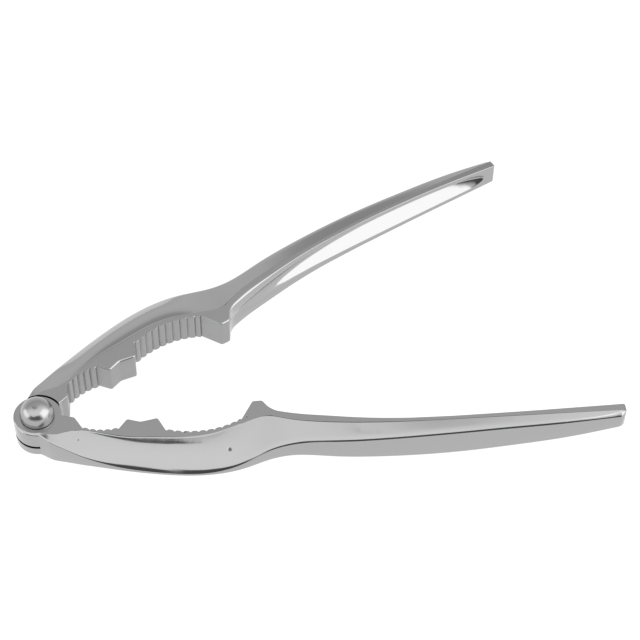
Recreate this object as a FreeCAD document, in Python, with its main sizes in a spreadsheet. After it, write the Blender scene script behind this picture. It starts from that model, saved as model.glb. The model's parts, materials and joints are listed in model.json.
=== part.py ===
"""Lever nutcracker: two cast arms on one riveted pivot.

Each arm is modelled straight along +X from the pivot axis, with its teeth on the +Y side and its
mid-plane at Z = 0.  The tongue arm is the same casting turned over.  The finished tool lies on Z = 0
with the pivot axis on the Z axis and the arms opened evenly about +X.
"""
import FreeCAD, Part
import math
import os
import Sketcher
from FreeCAD import Placement, Rotation, Vector

# Driving sizes in millimetres and degrees: alias, value, meaning
SIZES = [
    ("lever_length", 188.6, "pivot axis to the tip of an arm"),
    ("opening_angle", 27.5, "angle between the arms as modelled, 0 is closed"),
    ("jaw_height", 11.0, "height of the jaws and of the pivot stack"),
    ("grip_swell", 0.85, "how far the handles stand out past the jaws, above and below"),
    ("tip_height", 8.0, "height of the handles at the tip"),
    ("belly_depth", 23.6, "closing line to the outer ridge of the jaw"),
    ("neck_depth", 16.3, "closing line to the outer wall at the neck"),
    ("grip_depth", 18.9, "closing line to the outer wall of the handle"),
    ("grip_inner", 12.2, "closing line to the inner edge of the handle"),
    ("tip_depth", 14.7, "closing line to the outer wall at the tip"),
    ("tip_inner", 10.6, "closing line to the inner edge at the tip"),
    ("channel_depth", 3.6, "hollow on the inner side of the handle"),
    ("channel_wall", 1.35, "rim left above and below the hollow"),
    ("ear_radius", 7.7, "fork ears and tongue disc"),
    ("upper_ear", 3.0, "fork ear under the rivet's head, along the pivot axis"),
    ("lower_ear", 3.8, "fork ear over the washer, along the pivot axis"),
    ("upper_play", 0.1, "gap between the tongue and the upper ear"),
    ("lower_play", 0.8, "gap between the tongue and the lower ear"),
    ("disc_play", 0.35, "radial gap round the tongue disc, in the slot"),
    ("shoulder_play", 0.5, "radial gap between the ears and the tongue arm's shoulder"),
    ("stop_gap", 0.3, "gap left between the hooks when the arms are closed"),
    ("shank_radius", 2.6, "rivet shank"),
    ("bore_play", 0.05, "radial running clearance of the tongue on the shank"),
    ("head_radius", 5.45, "ball of the rivet's head"),
    ("head_lift", 1.05, "centre of that ball above the upper ear"),
    ("head_seat", 0.35, "depth of the head's seat in the upper ear"),
    ("head_play", 0.25, "radial gap round the head in its seat"),
    ("washer_radius", 5.0, "washer under the rivet tail"),
    ("washer_height", 0.8, "washer thickness"),
    ("washer_seat", 0.6, "depth of the washer's seat in the lower ear"),
    ("seat_play", 0.1, "radial gap round the washer in its seat"),
    ("tail_radius", 3.7, "upset tail of the rivet"),
    ("heel_place", 11.7, "pivot axis to the corner where the jaw begins"),
    ("heel_depth", 1.6, "closing line to that corner"),
    ("small_place", 21.5, "pivot axis to the arc centre of the small cavity"),
    ("small_depth", 7.2, "closing line to the deepest tooth tip of the small cavity"),
    ("small_radius", 17.0, "arc of the small cavity's tooth tips"),
    ("small_pitch", 2.3, "tooth pitch in the small cavity"),
    ("small_turn", -5.7, "middle of that tooth row, as an angle about its arc centre"),
    ("bump_depth", 3.7, "closing line to the two bumps between the cavities"),
    ("saddle_depth", 4.9, "closing line to the saddle between the bumps"),
    ("large_place", 50.5, "pivot axis to the arc centre of the large cavity"),
    ("large_depth", 10.2, "closing line to the deepest tooth tip of the large cavity"),
    ("large_radius", 28.0, "arc of the large cavity's tooth tips"),
    ("large_pitch", 2.55, "tooth pitch in the large cavity"),
    ("large_turn", 3.3, "middle of that tooth row, as an angle about its arc centre"),
    ("tooth_depth", 0.85, "tooth tip to the bottom of the gap"),
    ("hook_place", 70.1, "pivot axis to the middle of the hook"),
    ("hook_width", 3.4, "flat on top of the hook"),
]
LARGE_GAPS = 10     # gaps between the teeth of the large cavity, with one at each end of the row
SMALL_GAPS = 6      # the same for the small cavity

doc = FreeCAD.newDocument("nutcracker")
sheet = doc.addObject("Spreadsheet::Sheet", "sizes")
for row, (alias, value, meaning) in enumerate(SIZES, start=1):
    sheet.set("A%d" % row, alias)
    sheet.set("B%d" % row, str(value))
    sheet.set("C%d" % row, meaning)
    sheet.setAlias("B%d" % row, alias)
doc.recompute()


def size(alias):
    """One driving size, read from the sheet."""
    return float(sheet.get(alias))


def line(start, end):
    return Part.LineSegment(Vector(*start), Vector(*end)).toShape()


def bezier(*poles):
    curve = Part.BezierCurve()
    curve.setPoles([Vector(*pole) for pole in poles])
    return curve.toShape()


# ---------------------------------------------------------------- the casting that both arms share
CROWN_REACH = 0.4    # first pole of the crown, as a share of its width from the level top
CROWN_FALL = 0.15    # and as a share of its drop
EDGE_REACH = 0.18    # last pole of the crown, as a share of its width from the outer edge
EDGE_RISE = 0.45     # and as a share of its drop
RIDGE = 0.25         # half height of the outer wall where it narrows to a ridge


def handle_place(share):
    """Place along the handle, from 0 at the hook to 1 at the tip."""
    hook = size("hook_place")
    return hook + share * (size("lever_length") - hook)


def casting_section(place, flat, outer, half, edge):
    """Section across an arm: level top and bottom, crowned shoulders and a narrow outer wall."""
    width, drop = flat - outer, half - edge

    def crown(side):
        return [
            (place, flat, side * half),
            (place, flat - CROWN_REACH * width, side * (half - CROWN_FALL * drop)),
            (place, outer + EDGE_REACH * width, side * (edge + EDGE_RISE * drop)),
            (place, outer, side * edge),
        ]

    return Part.Wire([
        line((place, 0, -half), (place, 0, half)),
        line((place, 0, half), (place, flat, half)),
        bezier(*crown(1)),
        line((place, outer, edge), (place, outer, -edge)),
        bezier(*reversed(crown(-1))),
        line((place, flat, -half), (place, 0, -half)),
    ])


def casting_sections():
    """Sections from the pivot to the tip, each as place, flat, outer, half height and edge height."""
    jaw, tip = size("jaw_height") / 2, size("tip_height") / 2
    grip = jaw + size("grip_swell")
    ear, belly, neck = size("ear_radius"), size("belly_depth"), size("neck_depth")
    grip_outer, tip_outer = size("grip_depth"), size("tip_depth")
    large, small = size("large_place"), size("small_place")
    cavity = size("large_depth")
    hook = size("hook_place")
    jaw_rows = [
        (0.0, -0.88 * ear, -ear, jaw, 0.90 * jaw),
        (0.14 * small, -1.02 * ear, -1.27 * ear, jaw, 0.85 * jaw),
        (0.33 * small, -1.10 * ear, -0.507 * belly, jaw, 0.69 * jaw),
        (0.61 * small, -0.97 * ear, -0.626 * belly, jaw, 0.42 * jaw),
        (0.90 * small, -0.83 * cavity, -0.73 * belly, jaw, 0.21 * jaw),
        (0.52 * large, -0.99 * cavity, -0.823 * belly, jaw, 0.1 * jaw),
        (0.68 * large, -1.08 * cavity, -0.906 * belly, jaw, RIDGE),
        (0.87 * large, -1.16 * cavity, -0.976 * belly, jaw, RIDGE),
        (1.05 * large, -1.18 * cavity, -belly, jaw, 0.07 * jaw),
        (0.87 * hook, -1.02 * cavity, -0.952 * belly, jaw, 0.16 * jaw),
        (0.95 * hook, -0.82 * cavity, -0.5 * (belly + neck) - 0.3, jaw, 0.31 * jaw),
    ]
    handle_rows = [
        (0.03, -0.41 * neck, -neck - 1.2, 0.5 * (jaw + grip), 0.41 * grip),
        (0.11, -0.54 * neck, -neck - 0.1, 0.97 * grip, 0.54 * grip),
        (0.22, -0.85 * grip_inner(), -0.945 * grip_outer, 0.985 * grip, 0.63 * grip),
        (0.33, -grip_inner() - 0.3, -0.99 * grip_outer, 0.99 * grip, 0.70 * grip),
        (0.48, -grip_inner() - 1.0, -grip_outer, 0.99 * grip, 0.74 * grip),
        (0.63, -grip_inner() - 1.2, -0.97 * grip_outer, 0.965 * grip, 0.72 * grip),
        (0.80, -grip_inner() - 1.2, -0.5 * (grip_outer + tip_outer) - 0.3, 0.5 * (grip + tip) + 0.3, 0.58 * grip),
        (0.91, -0.5 * (grip_inner() + tip_outer), -tip_outer - 1.1, 0.3 * grip + 0.7 * tip + 0.1, 0.72 * tip),
        (1.00, -0.93 * tip_outer, -tip_outer, tip, 0.57 * tip),
    ]
    return jaw_rows + [(handle_place(row[0]),) + row[1:] for row in handle_rows]


def grip_inner():
    return size("grip_inner")


def inner_edge_points():
    """Points of the handle's inner edge, from the root of the hook to the tip."""
    rows = [(0.065, 0.42), (0.105, 0.53), (0.17, 0.67), (0.25, 0.80), (0.35, 0.92), (0.50, 0.995)]
    points = [(handle_place(share), -depth * grip_inner()) for share, depth in rows]
    points += [(handle_place(0.65), -grip_inner()), (handle_place(0.82), -0.97 * grip_inner())]
    return points + [(handle_place(1.0), -size("tip_inner"))]


def arm_plan():
    """Region of the arm seen from above: everything on the outer side of the inner edge."""
    hook, hook_top = size("hook_place"), -size("stop_gap") / 2
    corner = hook + size("hook_width") / 2
    edge = inner_edge_points()
    tip = size("lever_length")
    far = -2 * size("belly_depth")
    curve = Part.BSplineCurve()
    curve.interpolate([Vector(x, y, 0) for x, y in edge])
    return Part.Wire([
        line((0, far, 0), (0, hook_top, 0)),
        line((0, hook_top, 0), (corner, hook_top, 0)),
        line((corner, hook_top, 0), edge[0] + (0,)),
        curve.toShape(),
        line(edge[-1] + (0,), (tip, far, 0)),
        line((tip, far, 0), (0, far, 0)),
    ])


def channel_section(share, depth, half):
    """Section of the hollow in the handle: open on the inner side, round at the bottom."""
    place = handle_place(share)
    mouth = -0.3 * grip_inner()
    start = -0.35 * depth
    edge = inner_edge_at(place)
    return Part.Wire([
        line((place, mouth, -half), (place, mouth, half)),
        line((place, mouth, half), (place, edge + start, half)),
        bezier((place, edge + start, half), (place, edge - depth, 0.9 * half), (place, edge - depth, 0.5 * half),
               (place, edge - depth, 0)),
        bezier((place, edge - depth, 0), (place, edge - depth, -0.5 * half), (place, edge - depth, -0.9 * half),
               (place, edge + start, -half)),
        line((place, edge + start, -half), (place, mouth, -half)),
    ])


def inner_edge_at(place):
    """Inner edge of the handle at a place along the arm, straight between its points."""
    points = inner_edge_points()
    for (x0, y0), (x1, y1) in zip(points, points[1:]):
        if x0 <= place <= x1:
            return y0 + (y1 - y0) * (place - x0) / (x1 - x0)
    return points[0][1]


def channel_shape():
    """Hollow along the inner side of the handle, shallow at both ends."""
    grip, tip = size("jaw_height") / 2 + size("grip_swell"), size("tip_height") / 2
    wall, depth = size("channel_wall"), size("channel_depth")
    rows = [
        (0.07, 0.15 * depth, 0.40 * (grip - wall)),
        (0.14, 0.45 * depth, 0.72 * (grip - wall)),
        (0.25, 0.85 * depth, 0.95 * (grip - wall)),
        (0.45, depth, grip - wall),
        (0.65, 0.90 * depth, 0.97 * (grip - wall)),
        (0.82, 0.62 * depth, 0.5 * (grip + tip) - wall),
        (0.93, 0.45 * depth, 0.25 * grip + 0.75 * tip - wall),
        (0.96, 0.30 * depth, 0.6 * (tip - wall)),
    ]
    return Part.makeLoft([channel_section(*row) for row in rows], True, False)


def casting_shape():
    """Outer form of one arm before its jaws and its pivot are cut."""
    body = Part.makeLoft([casting_section(*row) for row in casting_sections()], True, False)
    height = 2 * size("jaw_height")
    plan = Part.Face(arm_plan()).extrude(Vector(0, 0, height))
    plan.translate(Vector(0, 0, -height / 2))
    jaw = size("jaw_height")
    ear = Part.makeCylinder(size("ear_radius"), jaw, Vector(0, 0, -jaw / 2))
    return body.common(plan).cut(channel_shape()).fuse(ear).removeSplitter().Solids[0]




# ---------------------------------------------------------------- sketch helpers
def origin_plane(body, role):
    return [item for item in body.Origin.OriginFeatures if item.Role == role][0]


def new_sketch(body, name, role="XY_Plane"):
    sketch = body.newObject("Sketcher::SketchObject", name)
    sketch.AttachmentSupport = (origin_plane(body, role), "")
    sketch.MapMode = "FlatFace"
    return sketch


def value_of(rule):
    """Present value of an expression of the sheet's sizes."""
    sheet.set("E1", "=" + rule.replace("sizes.", ""))
    sheet.recomputeCells("E1")
    value = sheet.get("E1")
    sheet.clear("E1")
    return float(getattr(value, "Value", value))


def point_of(corner):
    return Vector(value_of(corner[0]), value_of(corner[1]), 0)


def add_outline(sketch, corners, arcs=None):
    """Closed outline through corners, each a pair of expressions.

    arcs gives, by the index of the edge that starts at a corner, an arc's centre and radius as
    expressions; the arc's ends keep only their place along X, and the arc sets their height.
    """
    arcs = arcs or {}
    count = len(corners)
    points = [point_of(corner) for corner in corners]
    for index in range(count):
        start, end = points[index], points[(index + 1) % count]
        if index in arcs:
            centre, radius = point_of(arcs[index][:2]), value_of(arcs[index][2])
            angles = [math.atan2(point.y - centre.y, point.x - centre.x) for point in (start, end)]
            sketch.addGeometry(Part.ArcOfCircle(Part.Circle(centre, Vector(0, 0, 1), radius), *angles))
        else:
            sketch.addGeometry(Part.LineSegment(start, end))
    for index, corner in enumerate(corners):
        before = (index - 1) % count
        sketch.addConstraint(Sketcher.Constraint("Coincident", before, 2, index, 1))
        tie(sketch, "DistanceX", index, 1, corner[0])
        if index not in arcs and before not in arcs:
            tie(sketch, "DistanceY", index, 1, corner[1])
    for index, (across, along, radius) in arcs.items():
        tie(sketch, "DistanceX", index, 3, across)
        tie(sketch, "DistanceY", index, 3, along)
        row = sketch.addConstraint(Sketcher.Constraint("Radius", index, value_of(radius)))
        sketch.setExpression("Constraints[%d]" % row, radius)


def tie(sketch, kind, edge, vertex, rule):
    """Hold one coordinate of a sketch point at an expression of the sheet's sizes."""
    row = sketch.addConstraint(Sketcher.Constraint(kind, -1, 1, edge, vertex, value_of(rule)))
    sketch.setExpression("Constraints[%d]" % row, rule)


def add_circle(sketch, rule):
    """Circle round the sketch's origin with a radius set by an expression."""
    edge = sketch.addGeometry(Part.Circle(Vector(0, 0, 0), Vector(0, 0, 1), value_of(rule)))
    sketch.addConstraint(Sketcher.Constraint("Coincident", edge, 3, -1, 1))
    row = sketch.addConstraint(Sketcher.Constraint("Radius", edge, value_of(rule)))
    sketch.setExpression("Constraints[%d]" % row, rule)


# ---------------------------------------------------------------- cuts that shape an arm
def cut_through(body, sketch, name):
    """Cut a sketch through the whole arm, both ways from its mid-plane."""
    pocket = body.newObject("PartDesign::Pocket", name)
    pocket.Profile = sketch
    pocket.Midplane = True
    pocket.setExpression("Length", "sizes.jaw_height * 4")
    return pocket


def cut_from(body, sketch, name, start, upward, length):
    """Cut a sketch from a height above the mid-plane, up or down, over a length."""
    sketch.setExpression("AttachmentOffset.Base.z", start)
    pocket = body.newObject("PartDesign::Pocket", name)
    pocket.Profile = sketch
    pocket.Reversed = upward
    pocket.setExpression("Length", length)
    return pocket


SMALL_ARC = ("sizes.small_place", "sizes.small_radius - sizes.small_depth", "sizes.small_radius")
LARGE_ARC = ("sizes.large_place", "sizes.large_radius - sizes.large_depth", "sizes.large_radius")


def cut_bite(body):
    """Working edge of the jaw, from the ear to the hook, without its teeth."""
    sketch = new_sketch(body, body.Name + "_bite")
    ear_side = "sizes.ear_radius - 0.05"
    hook_side = "sizes.hook_place - sizes.hook_width / 2"
    corners = [
        (ear_side, "sizes.ear_radius"),
        (ear_side, "-0.05 * sizes.ear_radius"),
        ("sizes.heel_place", "-sizes.heel_depth"),
        ("sizes.small_place - 7.3", "-sizes.small_depth"),
        ("sizes.small_place + 4.1", "-sizes.small_depth"),
        ("sizes.small_place + 6.9", "-sizes.bump_depth"),
        ("0.5 * (sizes.small_place + sizes.large_place) - 3.5", "-sizes.saddle_depth"),
        ("sizes.large_place - 12.4", "-sizes.bump_depth - 0.3"),
        ("sizes.large_place - 9.9", "-sizes.large_depth"),
        ("sizes.large_place + 14.0", "-sizes.large_depth"),
        (hook_side, "-sizes.stop_gap / 2"),
        (hook_side, "sizes.ear_radius"),
    ]
    add_outline(sketch, corners, {3: SMALL_ARC, 8: LARGE_ARC})
    return cut_through(body, sketch, body.Name + "_bite_cut")


def cut_teeth(body, row, arc, gaps):
    """One gap between two teeth, repeated about the centre of its cavity's arc."""
    pitch, turn = "sizes.%s_pitch" % row, "sizes.%s_turn" % row
    sketch = new_sketch(body, "%s_%s_gap" % (body.Name, row))
    sketch.AttachmentOffset = Placement(Vector(), Rotation(Vector(0, 0, 1), 1))
    sketch.setExpression("AttachmentOffset.Base.x", arc[0])
    sketch.setExpression("AttachmentOffset.Base.y", arc[1])
    step = "%s / %s * 180 deg / pi" % (pitch, arc[2])
    sketch.setExpression("AttachmentOffset.Rotation.Angle", "%s * 1 deg - %g * %s" % (turn, (gaps - 1) / 2, step))
    half, lift = "0.39 * " + pitch, "0.2 * sizes.tooth_depth"
    add_outline(sketch, [
        ("-" + half, "%s - %s" % (lift, arc[2])),
        ("-0.06 * " + pitch, "-sizes.tooth_depth - " + arc[2]),
        ("0.06 * " + pitch, "-sizes.tooth_depth - " + arc[2]),
        (half, "%s - %s" % (lift, arc[2])),
    ])
    gap = cut_through(body, sketch, "%s_%s_gap_cut" % (body.Name, row))
    doc.recompute()
    pattern = body.newObject("PartDesign::PolarPattern", "%s_%s_teeth" % (body.Name, row))
    pattern.Originals = [gap]
    pattern.Axis = (sketch, ["N_Axis"])
    pattern.Occurrences = gaps
    pattern.setExpression("Angle", "%d * %s" % (gaps - 1, step))
    body.Tip = pattern
    return pattern


def new_arm(name):
    """Casting with its jaw and teeth cut, ready for its end of the pivot."""
    body = doc.addObject("PartDesign::Body", name)
    body.Label = name
    body.BaseFeature = casting
    doc.recompute()
    cut_bite(body)
    cut_teeth(body, "small", SMALL_ARC, SMALL_GAPS)
    cut_teeth(body, "large", LARGE_ARC, LARGE_GAPS)
    return body


def make_fork_arm():
    """Arm that ends in two ears with a slot between them, a seat for the rivet's head and one for the washer."""
    body = new_arm("fork_arm")
    slot = new_sketch(body, "slot_outline")
    add_circle(slot, "sizes.ear_radius + sizes.disc_play")
    height = "sizes.jaw_height - sizes.upper_ear - sizes.lower_ear"
    cut_from(body, slot, "slot", "-sizes.jaw_height / 2 + sizes.lower_ear", True, height)
    bore = new_sketch(body, "fork_bore_outline")
    add_circle(bore, "sizes.shank_radius")
    cut_through(body, bore, "fork_bore")
    head_seat = new_sketch(body, "head_seat_outline")
    add_circle(head_seat, "sizes.head_radius + sizes.head_play")
    cut_from(body, head_seat, "head_seat_cut", "sizes.jaw_height / 2 - sizes.head_seat", True, "sizes.jaw_height")
    seat = new_sketch(body, "washer_seat_outline")
    add_circle(seat, "sizes.washer_radius + sizes.seat_play")
    cut_from(body, seat, "washer_seat_cut", "-sizes.jaw_height / 2 + sizes.washer_seat", False, "sizes.jaw_height")
    body.Placement = arm_placement(-0.5, 0)
    return body


def make_tongue_arm():
    """Arm that ends in a disc between the ears, with a shoulder cut round them; it is turned over when placed."""
    body = new_arm("tongue_arm")
    toward_lower = "sizes.jaw_height / 2 - sizes.lower_ear - sizes.lower_play"
    toward_upper = "-sizes.jaw_height / 2 + sizes.upper_ear + sizes.upper_play"
    for name, start, upward in (("lower", toward_lower, True), ("upper", toward_upper, False)):
        step = new_sketch(body, name + "_step_outline")
        add_circle(step, "sizes.ear_radius + sizes.shoulder_play")
        cut_from(body, step, name + "_step", start, upward, "sizes.jaw_height")
    bore = new_sketch(body, "tongue_bore_outline")
    add_circle(bore, "sizes.shank_radius + sizes.bore_play")
    cut_through(body, bore, "tongue_bore")
    body.Placement = arm_placement(0.5, 180)
    return body


def arm_placement(share, roll):
    """Arm turned over by roll about its own length, then swung by its share of the opening."""
    swing = Rotation(Vector(0, 0, 1), share * size("opening_angle"))
    turn = Rotation(Vector(1, 0, 0), roll)
    return Placement(Vector(0, 0, mid_height()), swing * turn)


def mid_height():
    """Height of the arms' mid-plane above the face that the tool lies on."""
    return size("jaw_height") / 2 + size("grip_swell")


# ---------------------------------------------------------------- pivot hardware
def make_rivet():
    """Rivet turned about the pivot axis: ball head, plain shank and flat upset tail."""
    body = doc.addObject("PartDesign::Body", "pivot_rivet")
    body.Label = "pivot_rivet"
    profile = new_sketch(body, "rivet_profile", "XZ_Plane")
    half = "sizes.jaw_height / 2"
    under = "-%s + sizes.washer_seat - sizes.washer_height" % half
    foot = "-%s - sizes.grip_swell" % half
    seat = half + " - sizes.head_seat"
    centre = half + " + sizes.head_lift"
    rim = "sqrt(sizes.head_radius ^ 2 - (sizes.head_lift + sizes.head_seat) ^ 2)"
    corners = [
        ("0 * sizes.shank_radius", foot),
        ("sizes.tail_radius", foot),
        ("sizes.tail_radius", under),
        ("sizes.shank_radius", under),
        ("sizes.shank_radius", seat),
        (rim, seat),
        ("0 * sizes.shank_radius", centre + " + sizes.head_radius"),
    ]
    points = [point_of(corner) for corner in corners]
    ball = len(points) - 2
    for index in range(len(points)):
        start, end = points[index], points[(index + 1) % len(points)]
        if index == ball:
            middle = Vector(0, value_of(centre), 0)
            circle = Part.Circle(middle, Vector(0, 0, 1), size("head_radius"))
            low = math.atan2(start.y - middle.y, start.x)
            profile.addGeometry(Part.ArcOfCircle(circle, low, math.pi / 2))
        else:
            profile.addGeometry(Part.LineSegment(start, end))
    for index, corner in enumerate(corners):
        profile.addConstraint(Sketcher.Constraint("Coincident", (index - 1) % len(corners), 2, index, 1))
        tie(profile, "DistanceX", index, 1, corner[0])
        tie(profile, "DistanceY", index, 1, corner[1])
    tie(profile, "DistanceX", ball, 3, "0 * sizes.head_radius")
    turned = body.newObject("PartDesign::Revolution", "rivet_turned")
    turned.Profile = profile
    turned.ReferenceAxis = (profile, ["V_Axis"])
    turned.Angle = 360
    body.Placement.Base.z = mid_height()
    return body


def make_washer():
    """Flat washer in the lower ear's seat, under the rivet's tail."""
    body = doc.addObject("PartDesign::Body", "rivet_washer")
    body.Label = "rivet_washer"
    ring = new_sketch(body, "washer_ring")
    add_circle(ring, "sizes.washer_radius")
    add_circle(ring, "sizes.shank_radius")
    ring.setExpression("AttachmentOffset.Base.z", "-sizes.jaw_height / 2 + sizes.washer_seat - sizes.washer_height")
    pad = body.newObject("PartDesign::Pad", "washer_pad")
    pad.Profile = ring
    pad.setExpression("Length", "sizes.washer_height")
    body.Placement.Base.z = mid_height()
    return body


# ---------------------------------------------------------------- build, check and export
casting = doc.addObject("Part::Feature", "casting")
casting.Shape = casting_shape()
subparts = [make_fork_arm(), make_tongue_arm(), make_rivet(), make_washer()]
doc.recompute()

for item in doc.Objects:
    if "Invalid" in item.State or "Error" in item.State:
        raise RuntimeError("%s failed: %s" % (item.Name, item.State))
os.makedirs("parts", exist_ok=True)
for body in subparts:
    shape = body.Shape
    if shape.isNull() or not shape.isValid() or len(shape.Solids) != 1:
        raise RuntimeError("%s is not one valid solid" % body.Label)
    shape.exportStep("parts/%s.step" % body.Label)
    print("%-13s %9.1f mm3  %s" % (body.Label, shape.Volume, shape.BoundBox))
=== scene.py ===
"""Lever nutcracker: two chrome-plated castings on a domed rivet, lying open on a pale floor."""
import json
import math

import bpy
import numpy as np
from mathutils import Matrix, Vector


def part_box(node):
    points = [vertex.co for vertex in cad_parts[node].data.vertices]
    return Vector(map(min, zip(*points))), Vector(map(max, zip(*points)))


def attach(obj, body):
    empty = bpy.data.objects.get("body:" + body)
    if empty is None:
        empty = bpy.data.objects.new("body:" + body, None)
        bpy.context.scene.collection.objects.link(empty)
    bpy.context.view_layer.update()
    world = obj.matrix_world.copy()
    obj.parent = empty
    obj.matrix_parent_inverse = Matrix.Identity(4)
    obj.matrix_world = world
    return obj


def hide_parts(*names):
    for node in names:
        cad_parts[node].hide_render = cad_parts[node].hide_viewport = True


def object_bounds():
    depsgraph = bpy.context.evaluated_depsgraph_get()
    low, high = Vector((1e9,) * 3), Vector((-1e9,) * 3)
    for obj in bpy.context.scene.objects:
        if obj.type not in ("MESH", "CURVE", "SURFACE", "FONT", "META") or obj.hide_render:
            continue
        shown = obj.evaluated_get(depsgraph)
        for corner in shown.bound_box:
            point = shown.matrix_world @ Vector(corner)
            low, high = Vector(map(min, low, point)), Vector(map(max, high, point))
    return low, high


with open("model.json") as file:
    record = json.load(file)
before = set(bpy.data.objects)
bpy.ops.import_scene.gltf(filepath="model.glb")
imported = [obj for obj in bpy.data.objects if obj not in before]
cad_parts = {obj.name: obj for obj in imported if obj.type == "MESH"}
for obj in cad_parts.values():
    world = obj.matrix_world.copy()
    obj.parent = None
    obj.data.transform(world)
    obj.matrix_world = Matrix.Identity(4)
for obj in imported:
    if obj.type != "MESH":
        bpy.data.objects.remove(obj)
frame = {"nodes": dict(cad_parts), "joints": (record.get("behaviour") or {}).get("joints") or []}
cad_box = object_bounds()

MM = 0.001
hinge = frame["joints"][0]
pivot = np.array(hinge["pos_m"])
opening = -math.radians(hinge["range_deg"][0])      # angle between the arms as they lie
half_opening = opening / 2

# ------------------------------------------------------------------ sizes of the castings, in millimetres
TIP_INNER = 10.6
fork_low, fork_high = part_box("fork_arm")
LEVER = (fork_high.x / MM + TIP_INNER * math.sin(half_opening)) / math.cos(half_opening)
EAR = -fork_low.x / MM          # radius of the ears and of the tongue disc
JAW = 5.5                       # half height of the jaws
SLOT = (-1.7, 2.5)              # slot between the ears, from the mid-plane
TONGUE = (-0.9, 2.4)            # tongue in that slot
DISC_PLAY = 0.35
SHOULDER_PLAY = 0.5
SHANK = 2.6
BORE_PLAY = 0.05                # between the shank and the bore of the tongue
HEAD, HEAD_HEIGHT = 5.45, 6.4   # rivet head
HEAD_FULLNESS = 2.6             # 2 would be a plain ellipse, more gives a fuller shoulder
HEAD_SEAT, SEAT_PLAY = 0.35, 0.25
TAIL, TAIL_HEEL = 3.7, 3.5      # rivet tail: radius, and radius where it meets the washer
WASHER, WASHER_SEAT = 5.0, 0.6
WASHER_PLAY, WASHER_HEIGHT = 0.1, 0.8
BEYOND = 9                      # a height clear of the castings, above and below
EAR_FLAT = -0.38                # inner edge beside the ear, from the closing line
EAR_RIM, EAR_CORNER = 0.9, 0.45         # between the ear's level top and its edge, and corner radius behind
TIP_CORNERS = dict(inner=1.0, outer=2.4, top=0.8)       # corner radii at the tip of the handle
LIP = 1.09                      # height of the groove's rounded lip, for a groove half height of 1
CROWN_END = 0.985               # share of the way across at which the crown gives way to the crease
BULGE = 0.04                    # how far the outer wall bulges, for a wall half height of 1
STOP_GAP = 0.3
TOOTH_DEPTH = 0.85
HOOK_PLACE, HOOK_WIDTH = 70.25, 3.1
GRIP_PLACE, GRIP_EDGE = 73.4, -2.6      # where the inner edge of the handle begins
FINE_STEP = 0.02                # spacing of the points of the working edge
TURNED_SIDES = 160              # sides of every turned shape
END_SLOPE = 1.8                 # rise over run where the crown meets the outer wall, about sixty degrees
# each toothed cavity: arc centre along the arm, deepest tip, arc radius, tooth pitch, turn of the row,
# number of gaps, and the ends of the row from the arc centre
SMALL = dict(place=21.5, depth=7.2, radius=17.0, pitch=2.3, turn=-5.7, gaps=6, reach=(-7.3, 4.1))
LARGE = dict(place=50.5, depth=10.35, radius=28.0, pitch=2.55, turn=3.3, gaps=10, reach=(-9.9, 14.0))


def smooth_line(places, points):
    """Natural cubic spline through points (place, value), evaluated at places."""
    x, y = np.array(points, float).T
    n = len(x)
    h = np.diff(x)
    system = np.eye(n)
    right = np.zeros(n)
    for i in range(1, n - 1):
        system[i, i - 1:i + 2] = h[i - 1], 2 * (h[i - 1] + h[i]), h[i]
        right[i] = 6 * ((y[i + 1] - y[i]) / h[i] - (y[i] - y[i - 1]) / h[i - 1])
    bend = np.linalg.solve(system, right)
    i = np.clip(np.searchsorted(x, places) - 1, 0, n - 2)
    a, b = (x[i + 1] - places) / h[i], (places - x[i]) / h[i]
    curve = a * y[i] + b * y[i + 1]
    return curve + ((a ** 3 - a) * bend[i] + (b ** 3 - b) * bend[i + 1]) * h[i] ** 2 / 6


def arc_depth(x, cavity):
    """Height of a cavity's tooth-tip arc at x, measured from the closing line."""
    reach = np.clip(x - cavity["place"], -0.99 * cavity["radius"], 0.99 * cavity["radius"])
    return cavity["radius"] - cavity["depth"] - np.sqrt(cavity["radius"] ** 2 - reach ** 2)


def tooth_gap(x, cavity):
    """Depth of the gaps: round tips and narrow valleys, one valley every pitch along the arc."""
    angle = np.arcsin(np.clip((x - cavity["place"]) / cavity["radius"], -1, 1))
    angle = angle - math.radians(cavity["turn"])
    count = angle * cavity["radius"] / cavity["pitch"] + (cavity["gaps"] - 1) / 2
    beside = 2 * np.abs(count - np.round(count))
    return TOOTH_DEPTH * (1 - np.sqrt(np.clip(1 - (1 - beside) ** 2, 0, 1)))


def blur(values, reach):
    """Round off a finely sampled line: each value becomes the mean of its neighbours.

    The weight of a neighbour is e to the power of minus (distance / reach) squared.
    """
    count = 60
    spread = np.arange(-count, count + 1) * FINE_STEP
    weight = np.exp(-(spread / reach) ** 2)
    return np.convolve(np.pad(values, count, mode="edge"), weight / weight.sum(), mode="valid")


def ear_circle(x):
    """Height of the ear's circle at x: root of radius squared less x squared, and 0 outside it."""
    return np.sqrt(np.clip(EAR ** 2 - x ** 2, 0, None))


def row_ends(cavity):
    """First and last place of a cavity's row of teeth."""
    return cavity["place"] + cavity["reach"][0], cavity["place"] + cavity["reach"][1]


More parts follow.
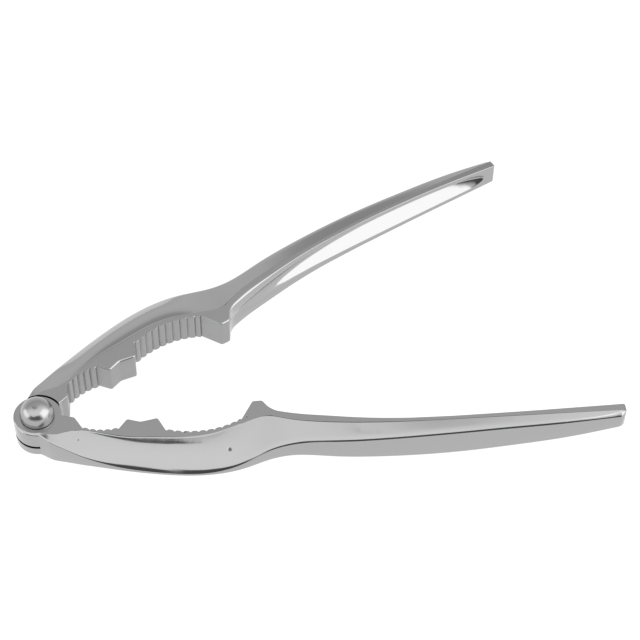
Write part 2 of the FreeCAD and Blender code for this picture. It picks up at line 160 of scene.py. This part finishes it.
def working_edge(x):
    """Inner edge of an arm at x, from the closing line.

    Straight runs between corners give heel, bumps and hook, the tooth arcs less the tooth gaps give the
    cavities and a spline gives the handle. The rows of teeth are rounded off over a short reach, the rest over
    a longer one.
    """
    fine = np.arange(EAR - 0.05, LEVER + 1, FINE_STEP)
    hook_left, hook_right = HOOK_PLACE - HOOK_WIDTH / 2, HOOK_PLACE + HOOK_WIDTH / 2
    small_start, small_end = row_ends(SMALL)
    large_start, large_end = row_ends(LARGE)
    corners = [
        (EAR - 0.1, EAR_FLAT), (11.7, -1.6), (small_start, -6.1), (small_end, -7.3), (28.4, -3.6),
        (32.6, -4.9), (38.1, -4.0), (large_start, -9.4), (large_end, -7.4), (hook_left, -STOP_GAP / 2),
        (hook_right, -STOP_GAP / 2), (GRIP_PLACE, GRIP_EDGE), (77.0, -5.3), (LEVER, -TIP_INNER),
    ]
    edge = np.interp(fine, *np.array(corners).T)
    toothed = np.zeros(len(fine))
    margin = 0.3
    for cavity in (SMALL, LARGE):
        start, end = row_ends(cavity)
        row = (fine > start) & (fine < end)
        edge[row] = (arc_depth(fine, cavity) - tooth_gap(fine, cavity))[row]
        toothed[(fine > start - margin) & (fine < end + margin)] = 1
    handle = [(GRIP_PLACE, GRIP_EDGE), (75.3, -4.1), (77.8, -5.1), (82.6, -6.4), (90, -8.0), (100, -9.8),
              (112, -11.25), (128, -12.1), (146, -12.15), (166, -11.7), (LEVER, -TIP_INNER),
              (LEVER + 2, -TIP_INNER + 0.1)]
    grip = fine > GRIP_PLACE
    edge[grip] = smooth_line(fine[grip], handle)
    sharp, soft = (blur(edge, reach) for reach in (0.14, 0.42))
    toothed = blur(toothed, margin)
    edge = toothed * sharp + (1 - toothed) * soft
    return np.where(x < EAR - FINE_STEP, np.maximum(ear_circle(x), EAR_FLAT), np.interp(x, fine, edge))


def outer_edge(x):
    """Outer edge of an arm at x: the ear's circle, then a spline over belly, neck and handle."""
    points = [(0, -EAR), (1.5, -8.7), (3.5, -10.25), (7.0, -12.05), (13, -14.8), (19, -17.1), (26, -19.35),
              (34, -21.3), (43, -22.9), (52, -23.6), (58, -23.15), (63, -22.0), (68, -20.1), (73, -18.1),
              (78, -16.95), (84, -16.65), (94, -17.6), (106, -18.4), (120, -18.65), (136, -18.4),
              (152, -17.7), (166, -16.95), (178, -15.85), (LEVER, -14.7), (LEVER + 2, -14.5)]
    return np.where(x < 0, -ear_circle(x), smooth_line(x, points))


def flat_edge(x):
    """Where the level top ends and the crown begins: a rim inside the ear's circle, then a spline."""
    points = [(0, -6.6), (2, -7.0), (4, -7.5), (6, -7.7), (8.5, -7.2), (11.5, -6.8), (16, -7.4), (22, -9.0),
              (28, -10.4), (36, -11.2), (44, -12.0), (50, -12.2), (56, -11.5), (61, -10.0), (66, -8.3),
              (72, -6.6), (79, -8.3), (88, -10.4), (100, -11.9), (112, -12.8), (128, -13.4), (146, -13.6),
              (166, -13.5), (LEVER, -13.2), (LEVER + 2, -13.2)]
    return np.where(x < 0, np.minimum(-ear_circle(x) + EAR_RIM, 0), smooth_line(x, points))


def half_height(x):
    """Half height of an arm at x: a spline, level along the jaws, fullest in the handle, low at the tip."""
    points = [(-8, JAW), (0, JAW), (60, JAW), (72, 5.7), (84, 6.15), (100, 6.33), (124, 6.35), (140, 6.25),
              (156, 5.8), (170, 5.2), (180, 4.55), (LEVER, 4.0), (LEVER + 2, 3.9)]
    return smooth_line(x, points)


def wall_height(x):
    """Half height of the outer wall under the crown: a spline, full at the ears, a ridge at the belly."""
    points = [(-8, 4.9), (0, 4.9), (2.5, 4.7), (6, 4.0), (13, 2.3), (19, 1.2), (26, 0.55), (34, 0.35),
              (46, 0.3), (54, 0.4), (60, 0.8), (66, 1.5), (72, 2.2), (80, 2.8), (88, 3.5), (98, 4.05),
              (110, 4.5), (126, 4.9), (140, 4.85), (154, 4.45), (168, 3.85), (178, 3.25), (LEVER, 2.5),
              (LEVER + 2, 2.4)]
    return smooth_line(x, points)


def land_step(x):
    """Drop from the level top to the start of the crown: a spline, a small step that fades at the neck."""
    return smooth_line(x, [(-8, 0.03), (0, 0.03), (8, 0.1), (18, 0.13), (56, 0.13), (66, 0.02), (74, 0),
                           (LEVER + 2, 0)])


def crown_form(x):
    """How the crown falls, in three splines over x.

    They give the share that is a plain slope, the power of the rest and the height of the last, steep roll.
    """
    lead = smooth_line(x, [(-8, 1), (8, 1), (16, 0.6), (24, 0.35), (33, 0.22), (46, 0.2), (54, 0.2),
                           (60, 0.3), (67, 0.8), (80, 1), (LEVER + 2, 1)])
    bow = smooth_line(x, [(-8, 1.8), (22, 1.8), (31, 2.05), (47, 2.1), (55, 2.2), (61, 2.1), (68, 2),
                          (LEVER + 2, 2)])
    roll = smooth_line(x, [(-8, 0.3), (14, 0.3), (26, 0.45), (54, 0.42), (62, 0.5), (72, 0.6), (88, 0.7),
                           (104, 0.8), (130, 0.9), (LEVER - 20, 0.7), (LEVER + 2, 0.5)])
    return lead, bow, roll


def edge_break(x):
    """Radius between the inner side and the level top: a spline, small at the teeth, wide at the neck."""
    return smooth_line(x, [(-8, 0.3), (8, 0.3), (27, 0.3), (29.5, 0.5), (37, 0.5), (39.5, 0.3), (64, 0.3),
                           (68, 0.45), (72, 0.55), (76, 0.7), (83, 0.8), (92, 0.4), (104, 0.18), (120, 0.15),
                           (180, 0.15), (LEVER + 2, 0.15)])


def channel(x):
    """Groove on the inner side of the handle: depth, half height and straightness of its flanks.

    Each is a spline. Towards its end the half height closes along a quarter circle, and the depth runs out
    along a longer one.
    """
    end, close_over, shallow_over = LEVER - 4.6, 6, 14
    depth = smooth_line(x, [(60, 0), (73, 0), (77, 0.3), (84, 0.8), (92, 1.3), (104, 2.2), (120, 3.1),
                            (140, 3.5), (165, 3.1), (178, 2.6), (LEVER + 2, 2.2)])
    half = smooth_line(x, [(60, 2.0), (73, 2.0), (78, 2.6), (86, 3.5), (96, 4.1), (108, 4.4), (130, 4.5),
                           (150, 4.2), (168, 3.6), (181, 2.9), (LEVER + 2, 2.6)])
    closing = np.sqrt(1 - np.clip((x - end + close_over) / close_over, 0, 1) ** 2)
    run_out = np.sqrt(1 - np.clip((x - end + shallow_over) / shallow_over, 0, 1) ** 2)
    depth = np.where(x > 72, np.clip(depth, 0, None), 0) * run_out
    flank = smooth_line(x, [(60, 0), (88, 0), (108, 0.25), (132, 0.9), (150, 1), (LEVER + 2, 1)])
    return depth, np.maximum(half * closing, 0.06), np.clip(flank, 0, 1)


def round_end(x, end, radius):
    """How far a quarter-round corner of that radius has drawn in at x, where the piece stops at end."""
    reach = np.clip((np.abs(x) - abs(end) + radius) / radius, 0, 1)
    return radius * (1 - np.sqrt(1 - reach ** 2))


def casting_places():
    """Places along the arm where it is cut into sections: close together at the teeth, hook and both ends.

    They follow a cosine round the ear and the tip, and even steps in between.
    """
    turn = np.linspace(0, math.pi / 2, 30)
    ear_start = EAR * np.sin(np.linspace(0, math.radians(87), 26))[1:]
    spans = [(ear_start[-1] + 0.02, 13, 0.3), (13, 27.5, 0.125), (27.5, 38, 0.25), (38, 76, 0.125),
             (76, 84, 0.4), (84, LEVER - 9, 1.15)]
    middle = [np.arange(*span) for span in spans]
    tip = LEVER - 9 * np.cos(np.linspace(0, math.pi / 2, 60)[1:])
    return np.concatenate([-EAR * np.cos(turn), ear_start] + middle + [tip])


def corner_curve(before, corner, end, share):
    """Quadratic curve from the last column before it, towards a corner point, to an end point.

    At each share t the three points weigh (1 - t) squared, 2 t (1 - t) and t squared.
    """
    start_weight, corner_weight, end_weight = (1 - share) ** 2, 2 * share * (1 - share), share ** 2
    return tuple(start_weight * first[:, -1:] + corner_weight * middle + end_weight * last
                 for first, middle, last in zip(before, corner, end))


def casting_grid():
    """Closed surface of one casting: a section for each place x, walked once round the arm.

    Each upper half section starts in the middle of the inner side and runs up one flank of the groove, round
    its lip, up the rim, over the edge break, along the level land, down its small step, over the crown, round
    the crease and down the outer wall. The crown falls as a slope plus two powers of the distance; the steep
    last power is chosen, between 4 and 30, so that the fall ends at END_SLOPE. Lip and crease are quadratic
    curves towards a corner. The lower half is the mirror image of the upper one. The number of columns on the
    inner side comes back as well.
    """
    x = casting_places()
    after_pivot = np.where(x > 0, x, 0)
    before_pivot = np.where(x < 0, x, 0)
    inner = working_edge(x) - round_end(after_pivot, LEVER, TIP_CORNERS["inner"])
    outer = outer_edge(x) + round_end(after_pivot, LEVER, TIP_CORNERS["outer"])
    half = half_height(x) - round_end(after_pivot, LEVER, TIP_CORNERS["top"])
    half = half - round_end(before_pivot, EAR, EAR_CORNER)
    depth, hollow, straight = channel(x)
    # where the arm is narrow, each of these gives way so that a section never folds over itself
    rim = np.minimum(edge_break(x), 0.3 * (inner - outer) + 1e-4)
    flat = np.clip(flat_edge(x), outer + 0.5 * rim, inner - rim)
    wall = np.minimum(wall_height(x), half - np.minimum(rim, 0.3))
    step_width = smooth_line(x, [(-8, 0.1), (12, 0.1), (19, 0.5), (56, 0.5), (63, 0.1), (LEVER + 2, 0.1)])
    ease = np.minimum(step_width, 0.3 * (flat - outer))
    start, drop = flat - ease, land_step(x)
    lead, bow, roll = crown_form(x)
    fall = half - drop - wall
    roll = np.clip(roll / fall, 0, 0.8)
    rest_slope = (1 - roll) * (lead + bow * (1 - lead))
    power = np.clip((END_SLOPE * (start - outer) / fall - rest_slope) / roll, 4, 30)

    def column(values):
        """One value for each section, ready to spread along it."""
        return values.reshape(len(x), 1)

    inner, outer, half, depth, hollow, straight = map(column, (inner, outer, half, depth, hollow, straight))
    rim, flat, wall, ease, start, drop = map(column, (rim, flat, wall, ease, start, drop))
    lead, bow, roll, power, fall = map(column, (lead, bow, roll, power, fall))

    # groove flank and its lip, the rim above it
    share = np.array([0, 0.04, 0.09, 0.15, 0.23, 0.33, 0.44, 0.56, 0.68, 0.8, 0.9])
    flank = straight * (1 - share ** 1.25) + (1 - straight) * np.cos(math.pi / 2 * share) ** 2
    parts = [(inner - depth * flank, hollow * share)]
    lip_top = LIP * hollow
    parts.append(corner_curve(parts[-1], (inner, hollow), (inner, lip_top), np.array([0.25, 0.5, 0.75, 1.0])))
    share = np.linspace(0, 1, 4)[1:]
    height = lip_top + (half - rim - lip_top) * share
    parts.append((np.broadcast_to(inner, height.shape), height))
    wall_columns = sum(part[0].shape[1] for part in parts)

    # edge break and level land, with a close pair of columns at each end of the land
    turn = np.linspace(0, math.pi / 2, 7)[1:]
    parts.append((inner - rim + rim * np.cos(turn), half - rim + rim * np.sin(turn)))
    near = np.minimum(0.12, 0.2 * (inner - rim - flat))
    share = np.array([0, 1 / 3, 2 / 3, 1])
    across = inner - rim - near + (flat - inner + rim + 2 * near) * share
    parts.append((across, np.broadcast_to(half, across.shape)))
    parts.append((flat, half))

    # small step and crown
    share = np.linspace(0, 1, 6)[1:]
    parts.append((flat - ease * share, half - drop * (1 - np.cos(math.pi * share)) / 2))
    share = CROWN_END * (1 - (1 - np.linspace(0, 1, 25)[1:]) ** 1.5)
    slope = (1 - roll) * (lead * share + (1 - lead) * share ** bow) + roll * share ** power
    parts.append((start - (start - outer) * share, half - drop - fall * slope))

    # crease and outer wall, which bulges a little towards the middle
    crease = np.minimum(0.15, 0.4 * wall)
    parts.append(corner_curve(parts[-1], (outer, wall), (outer, wall - crease), np.array([0.35, 0.7, 1.0])))
    share = np.linspace(1, 0, 5)[1:]
    parts.append((outer - BULGE * wall * (1 - share ** 2), (wall - crease) * share))
    y = np.hstack([part[0] for part in parts])
    z = np.hstack([part[1] for part in parts])
    y = np.hstack([y, y[:, -2:0:-1]])
    z = np.hstack([z, -z[:, -2:0:-1]])
    return np.stack([np.broadcast_to(column(x), y.shape), y, z], axis=-1), wall_columns


def grid_mesh(name, points, satin_columns=0, satin_reach=(0, 0)):
    """Mesh from a grid of closed rings, with a fan over the first and last ring.

    Faces of the first and last satin_columns take the second material where x lies within satin_reach.
    """
    rows, around = points.shape[:2]
    index = np.arange(rows * around).reshape(rows, around)
    a, b = index[:-1], index[1:]
    quads = np.stack([a, np.roll(a, -1, 1), np.roll(b, -1, 1), b], axis=-1).reshape(-1, 4)
    ends = [points[0].mean(0), points[-1].mean(0)]
    vertices = np.vstack([points.reshape(-1, 3), ends])
    first, last = rows * around, rows * around + 1
    start = np.stack([index[0], np.roll(index[0], -1), np.full(around, first)], axis=-1)[:, ::-1]
    finish = np.stack([index[-1], np.roll(index[-1], -1), np.full(around, last)], axis=-1)
    mesh = bpy.data.meshes.new(name)
    mesh.from_pydata(vertices.tolist(), [], quads.tolist() + start.tolist() + finish.tolist())
    satin = np.zeros((rows - 1, around), int)
    place = points[:-1, 0, 0]
    toothed = (place > satin_reach[0]) & (place < satin_reach[1])
    satin[toothed, :satin_columns] = 1
    satin[toothed, around - satin_columns:] = 1
    material = np.concatenate([satin.ravel(), np.zeros(2 * around, int)])
    mesh.polygons.foreach_set("material_index", material)
    mesh.update()
    return mesh


def add_piece(name, mesh):
    """Object of that name in the scene, at the origin."""
    piece = bpy.data.objects.new(name, mesh)
    bpy.context.scene.collection.objects.link(piece)
    return piece


def disc_solid(name, radius, low, high):
    """Closed cylinder about the pivot axis, in millimetres of the arm's own frame: a ring at each height."""
    turn = np.linspace(0, 2 * math.pi, TURNED_SIDES, endpoint=False)
    ring = np.stack([radius * np.cos(turn), radius * np.sin(turn)], axis=-1)
    bottom = np.hstack([ring, np.full((TURNED_SIDES, 1), low)])
    top = np.hstack([ring, np.full((TURNED_SIDES, 1), high)])
    lower = np.arange(TURNED_SIDES)
    upper = lower + TURNED_SIDES
    side = np.stack([lower, np.roll(lower, -1), np.roll(upper, -1), upper], axis=-1)
    mesh = bpy.data.meshes.new(name)
    mesh.from_pydata(np.vstack([bottom, top]).tolist(), [],
                     side.tolist() + [lower[::-1].tolist(), upper.tolist()])
    return add_piece(name, mesh)


def cut_away(piece, cutters):
    """Take each cutter away from the piece and apply the result."""
    for cutter in cutters:
        tool = piece.modifiers.new("cut", "BOOLEAN")
        tool.operation = "DIFFERENCE"
        tool.solver = "MANIFOLD"
        tool.object = cutter
    bpy.context.view_layer.update()
    graph = bpy.context.evaluated_depsgraph_get()
    result = bpy.data.meshes.new_from_object(piece.evaluated_get(graph))
    piece.modifiers.clear()
    piece.data = result
    for cutter in cutters:
        bpy.data.objects.remove(cutter)


def place_arm(piece, roll, swing):
    """Scale to metres, turn the arm over by roll, swing it and lift it to the pivot, all in the mesh."""
    move = Matrix.Translation(Vector(pivot)) @ Matrix.Rotation(swing, 4, "Z") @ Matrix.Rotation(roll, 4, "X")
    piece.data.transform(move @ Matrix.Scale(MM, 4))
    piece.data.update()


def finish_shading(piece, angle=32):
    """Smooth shading, with edges sharper than the angle in degrees left crisp."""
    piece.data.polygons.foreach_set("use_smooth", np.ones(len(piece.data.polygons), bool))
    piece.data.set_sharp_from_angle(angle=math.radians(angle))


def make_arm(name, ears):
    """One casting cut for its end of the pivot: ears with a slot, or a disc with a shoulder round it."""
    points, wall_columns = casting_grid()
    toothed_reach = (EAR + 1.5, HOOK_PLACE + 2.5)
    mesh = grid_mesh(name, points, wall_columns, toothed_reach)
    for finish in (plated_casting, satin_teeth):
        mesh.materials.append(finish)
    piece = add_piece(name, mesh)
    if ears:
        cutters = [disc_solid("slot", EAR + DISC_PLAY, *SLOT), disc_solid("bore", SHANK, -BEYOND, BEYOND),
                   disc_solid("head_seat", HEAD + SEAT_PLAY, JAW - HEAD_SEAT, BEYOND),
                   disc_solid("washer_seat", WASHER + WASHER_PLAY, -BEYOND, -JAW + WASHER_SEAT)]
    else:
        cutters = [disc_solid("above", EAR + SHOULDER_PLAY, -TONGUE[0], BEYOND),
                   disc_solid("below", EAR + SHOULDER_PLAY, -BEYOND, -TONGUE[1]),
                   disc_solid("bore", SHANK + BORE_PLAY, -BEYOND, BEYOND)]
    cut_away(piece, cutters)
    place_arm(piece, 0 if ears else math.pi, -half_opening if ears else half_opening)
    finish_shading(piece)
    return piece


def make_rivet():
    """Rivet turned about the pivot axis: domed head with a full shoulder, plain shank and flat upset tail.

    The dome is a fuller ellipse: radius and height go with the cosine and sine of an angle, each raised to
    2 / HEAD_FULLNESS.
    """
    dome = np.linspace(math.pi / 2, 0, 70)[1:]
    fullness = 2 / HEAD_FULLNESS
    seat = JAW - HEAD_SEAT
    head = np.stack([HEAD * np.cos(dome) ** fullness, seat + HEAD_HEIGHT * np.sin(dome) ** fullness], axis=-1)
    under, foot = -JAW + WASHER_SEAT - WASHER_HEIGHT, -pivot[2] / MM
    heel_bevel, foot_bevel = 0.2, 0.15
    tail = [(SHANK, seat), (SHANK, under), (TAIL_HEEL, under), (TAIL, under - heel_bevel),
            (TAIL, foot + foot_bevel), (TAIL - foot_bevel, foot)]
    profile = np.vstack([head, tail])
    turn = np.linspace(0, 2 * math.pi, TURNED_SIDES, endpoint=False)
    rings = np.stack([profile[:, :1] * np.cos(turn), profile[:, :1] * np.sin(turn),
                      np.repeat(profile[:, 1:], len(turn), 1)], axis=-1)
    mesh = grid_mesh("turned_rivet", rings[::-1])
    mesh.materials.append(polished_rivet)
    piece = add_piece("turned_rivet", mesh)
    place_arm(piece, 0, 0)
    finish_shading(piece)
    return piece


# ------------------------------------------------------------------ materials
PIT_SHADE, PIT_ROUGHNESS, PIT_DEPTH = 0.12, 0.6, 0.00012        # depth in metres
PIT_FADE = (1.25, 0.55)         # where a pit begins and is full, for a radius of 1


def number(nodes, links, kind, *values):
    """Math node of a kind; each value is a number or the output of another node."""
    node = nodes.new("ShaderNodeMath")
    node.operation = kind
    for socket, value in zip(node.inputs, values):
        if isinstance(value, bpy.types.NodeSocket):
            links.new(value, socket)
        else:
            socket.default_value = value
    return node.outputs[0]


def band(nodes, links, value, low, high, soft):
    """1 where a value lies between low and high, falling smoothly to 0 over soft on both sides."""
    sides = []
    for start, end in ((low - soft, low), (high + soft, high)):
        node = nodes.new("ShaderNodeMapRange")
        node.interpolation_type = "SMOOTHSTEP"
        node.inputs["From Min"].default_value = start
        node.inputs["From Max"].default_value = end
        links.new(value, node.inputs["Value"])
        sides.append(node.outputs[0])
    return number(nodes, links, "MULTIPLY", *sides)


def grain(nodes, links, position, scale, detail, low, high):
    """Noise of a scale per metre, its usual spread from 0.3 to 0.7 read as a value from low to high."""
    noise = nodes.new("ShaderNodeTexNoise")
    noise.inputs["Scale"].default_value = scale
    noise.inputs["Detail"].default_value = detail
    links.new(position, noise.inputs["Vector"])
    spread = nodes.new("ShaderNodeMapRange")
    spread.inputs["From Min"].default_value = 0.3
    spread.inputs["From Max"].default_value = 0.7
    spread.inputs["To Min"].default_value = low
    spread.inputs["To Max"].default_value = high
    links.new(noise.outputs["Fac"], spread.inputs["Value"])
    return spread.outputs[0]


def metal(name, shade, roughness, waves, pits=()):
    """Bare metal finish, with roughness from low to high over a noise.

    Waves are (scale per metre, height in metres) pairs. Pits are (place, radius) pairs in metres, each a small
    dark rough spot sunk into the surface.
    """
    material = bpy.data.materials.new(name)
    material.use_nodes = True
    nodes, links = material.node_tree.nodes, material.node_tree.links
    shader = nodes["Principled BSDF"]
    shader.inputs["Metallic"].default_value = 1
    colour = (shade, shade, shade * 1.01, 1)
    position = nodes.new("ShaderNodeTexCoord").outputs["Object"]
    smear_scale, smear_detail, wave_detail = 180, 4, 2
    rough = grain(nodes, links, position, smear_scale, smear_detail, *roughness)
    height = None
    for scale, depth in waves:
        wave = grain(nodes, links, position, scale, wave_detail, 0, depth)
        height = wave if height is None else number(nodes, links, "ADD", height, wave)
    if pits:
        spots = None
        for place, radius in pits:
            gap = nodes.new("ShaderNodeVectorMath")
            gap.operation = "DISTANCE"
            gap.inputs[1].default_value = place
            links.new(position, gap.inputs[0])
            fade = nodes.new("ShaderNodeMapRange")
            fade.interpolation_type = "SMOOTHSTEP"
            fade.inputs["From Min"].default_value = PIT_FADE[0] * radius
            fade.inputs["From Max"].default_value = PIT_FADE[1] * radius
            links.new(gap.outputs["Value"], fade.inputs["Value"])
            spot = fade.outputs[0]
            spots = spot if spots is None else number(nodes, links, "MAXIMUM", spots, spot)
        pit_rough = number(nodes, links, "MULTIPLY", spots, PIT_ROUGHNESS)
        rough = number(nodes, links, "MAXIMUM", rough, pit_rough)
        height = number(nodes, links, "MULTIPLY_ADD", spots, -PIT_DEPTH, height)
        tone = nodes.new("ShaderNodeMix")
        tone.data_type = "RGBA"
        tone.inputs["A"].default_value = colour
        tone.inputs["B"].default_value = (PIT_SHADE, PIT_SHADE, PIT_SHADE, 1)
        links.new(spots, tone.inputs["Factor"])
        links.new(tone.outputs["Result"], shader.inputs["Base Color"])
    else:
        shader.inputs["Base Color"].default_value = colour
    links.new(rough, shader.inputs["Roughness"])
    bump = nodes.new("ShaderNodeBump")
    bump.inputs["Distance"].default_value = 1.0
    links.new(height, bump.inputs["Height"])
    links.new(bump.outputs[0], shader.inputs["Normal"])
    return material


def on_fork(x, y, z):
    """Place on the fork arm, from millimetres of its own frame to metres as it lies."""
    turned = Matrix.Rotation(-half_opening, 4, "Z") @ Vector((x, y, z))
    return tuple(Vector(pivot) + turned * MM)


# pits in the plating of the fork arm, in millimetres: place along the arm, across, height and radius
pit_rows = [(12.7, -9.9, 4.7, 0.35), (22.5, -15.5, 3.3, 0.22), (45.4, -21.5, 1.3, 0.3),
            (46.5, -10.4, 5.5, 0.3), (60.3, -17.4, 4.2, 0.75), (66.4, -6.3, 5.5, 0.3),
            (34.9, -8.6, 5.5, 0.2), (172.1, -17.0, 3.0, 0.3)]
pits = [(on_fork(x, y, z), radius * MM) for x, y, z, radius in pit_rows]
plated_casting = metal("plated_casting", 0.38, (0.07, 0.12), [(70, 0.00003), (260, 0.000006)], pits)
satin_teeth = metal("satin_teeth", 0.33, (0.28, 0.4), [(900, 0.00001), (3000, 0.000006)])
polished_rivet = metal("polished_rivet", 0.37, (0.2, 0.3), [(500, 0.000008)])
plain_washer = metal("plain_washer", 0.4, (0.25, 0.35), [(900, 0.000006)])

fork = make_arm("fork_casting", True)
tongue = make_arm("tongue_casting", False)
rivet = make_rivet()
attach(fork, "fork_side")
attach(tongue, "tongue_side")
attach(rivet, "fork_side")
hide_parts("fork_arm")
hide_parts("tongue_arm")
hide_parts("pivot_rivet")
washer = frame["nodes"]["rivet_washer"]
washer.data.materials.clear()
washer.data.materials.append(plain_washer)


# ------------------------------------------------------------------ floor, light and camera
def make_floor():
    """Flat pale floor just under the tool, lit mostly by itself so that it stays evenly pale."""
    mesh = bpy.data.meshes.new("floor")
    reach, gap = 3.0, 0.0002
    low = cad_box[0][2] - gap
    corners = [(-reach, -reach, low), (reach, -reach, low), (reach, reach, low), (-reach, reach, low)]
    mesh.from_pydata(corners, [], [(0, 1, 2, 3)])
    floor = add_piece("floor", mesh)
    paint = bpy.data.materials.new("floor")
    paint.use_nodes = True
    shader = paint.node_tree.nodes["Principled BSDF"]
    shader.inputs["Base Color"].default_value = (0.1, 0.1, 0.1, 1)
    shader.inputs["Roughness"].default_value = 0.9
    shader.inputs["Emission Color"].default_value = (1, 1, 1, 1)
    shader.inputs["Emission Strength"].default_value = 0.98
    mesh.materials.append(paint)


def make_sky():
    """Light tent round the tool, as a brightness for every direction.

    It is bright overhead, grey on the far side and dark low down on the near side. Two dim cards, two soft
    boxes and a dark gap overhead are laid over that.
    """
    world = bpy.data.worlds.new("tent")
    bpy.context.scene.world = world
    world.use_nodes = True
    nodes, links = world.node_tree.nodes, world.node_tree.links
    background = nodes["Background"]
    coordinates = nodes.new("ShaderNodeTexCoord")
    split = nodes.new("ShaderNodeSeparateXYZ")
    links.new(coordinates.outputs["Generated"], split.inputs[0])
    across, along, up = split.outputs
    degree = 180 / math.pi
    tilt = number(nodes, links, "MULTIPLY", number(nodes, links, "ARCTAN2", along, up), degree)
    near = number(nodes, links, "MULTIPLY", along, -1.0)
    bearing = number(nodes, links, "MULTIPLY", number(nodes, links, "ARCTAN2", across, near), degree)
    rise = number(nodes, links, "MULTIPLY", number(nodes, links, "ARCSINE", up), degree)
    ramp = nodes.new("ShaderNodeValToRGB")
    links.new(number(nodes, links, "MULTIPLY_ADD", tilt, 1 / 360, 0.5), ramp.inputs[0])
    # tilt from the zenith in degrees, towards the far side (+Y), and brightness
    stops = [(-180, 0.45), (-100, 0.3), (-92, 0.08), (-80, 0.08), (-70, 0.4), (-58, 0.66), (-20, 0.68),
             (0, 0.66), (18, 0.6), (29, 0.38), (38, 0.345), (46, 0.25), (54, 0.28), (62, 0.4), (75, 0.42),
             (95, 0.35), (180, 0.45)]
    half_turn, brightness = 180, 2.25
    elements = ramp.color_ramp.elements
    while len(elements) < len(stops):
        elements.new(0.5)
    for element, (place, shade) in zip(elements, stops):
        element.position = (place + half_turn) / (2 * half_turn)
        element.color = (shade, shade, shade, 1)
    light = number(nodes, links, "MULTIPLY", ramp.outputs[0], brightness)
    # each patch in degrees: bearing from the near side (-Y) towards +X, rise, softness, then brightness
    patches = [((-60, -30), (6, 31), 6, 0.14), ((-24, 12), (6, 40), 6, 0.14),
               ((30, 84), (-3, 58), 5, 2.5), ((-122, -78), (0, 30), 5, 2.2)]
    for (left, right), (low, high), soft, shade in patches:
        inside = number(nodes, links, "MULTIPLY", band(nodes, links, bearing, left, right, soft),
                        band(nodes, links, rise, low, high, soft))
        kept = number(nodes, links, "MULTIPLY", light, number(nodes, links, "SUBTRACT", 1.0, inside))
        light = number(nodes, links, "MULTIPLY_ADD", inside, shade, kept)
    # dark gap between the panels overhead: sideways reach, then tilt in degrees, each with its softness
    inside = number(nodes, links, "MULTIPLY", band(nodes, links, across, -0.15, 0.05, 0.03),
                    band(nodes, links, tilt, 15, 28, 3))
    kept_in_gap = 0.14
    light = number(nodes, links, "MULTIPLY", light,
                   number(nodes, links, "MULTIPLY_ADD", inside, kept_in_gap - 1, 1.0))
    background.inputs["Color"].default_value = (1, 1, 1, 1)
    links.new(light, background.inputs["Strength"])


def make_camera():
    """Camera looking at the target from above and a little left of -Y, turned slightly about its own axis."""
    azimuth, elevation, roll = math.radians(-20.0), math.radians(51.5), math.radians(1.0)
    distance, focal, sensor = 0.6706, 112.6, 36         # metres, then millimetres
    target = Vector((0.09966, 0.01194, pivot[2]))
    back = Vector((math.sin(azimuth) * math.cos(elevation), -math.cos(azimuth) * math.cos(elevation),
                   math.sin(elevation)))
    right = Vector((math.cos(azimuth), math.sin(azimuth), 0))
    up = back.cross(right)
    tilted_right = right * math.cos(roll) + up * math.sin(roll)
    tilted_up = up * math.cos(roll) - right * math.sin(roll)
    data = bpy.data.cameras.new("camera")
    data.sensor_width = sensor
    data.lens = focal
    camera = bpy.data.objects.new("camera", data)
    bpy.context.scene.collection.objects.link(camera)
    basis = Matrix((tilted_right, tilted_up, back)).transposed().to_4x4()
    camera.matrix_world = Matrix.Translation(target + back * distance) @ basis
    bpy.context.scene.camera = camera


make_floor()
make_sky()
make_camera()
bpy.context.scene.view_settings.view_transform = "Standard"
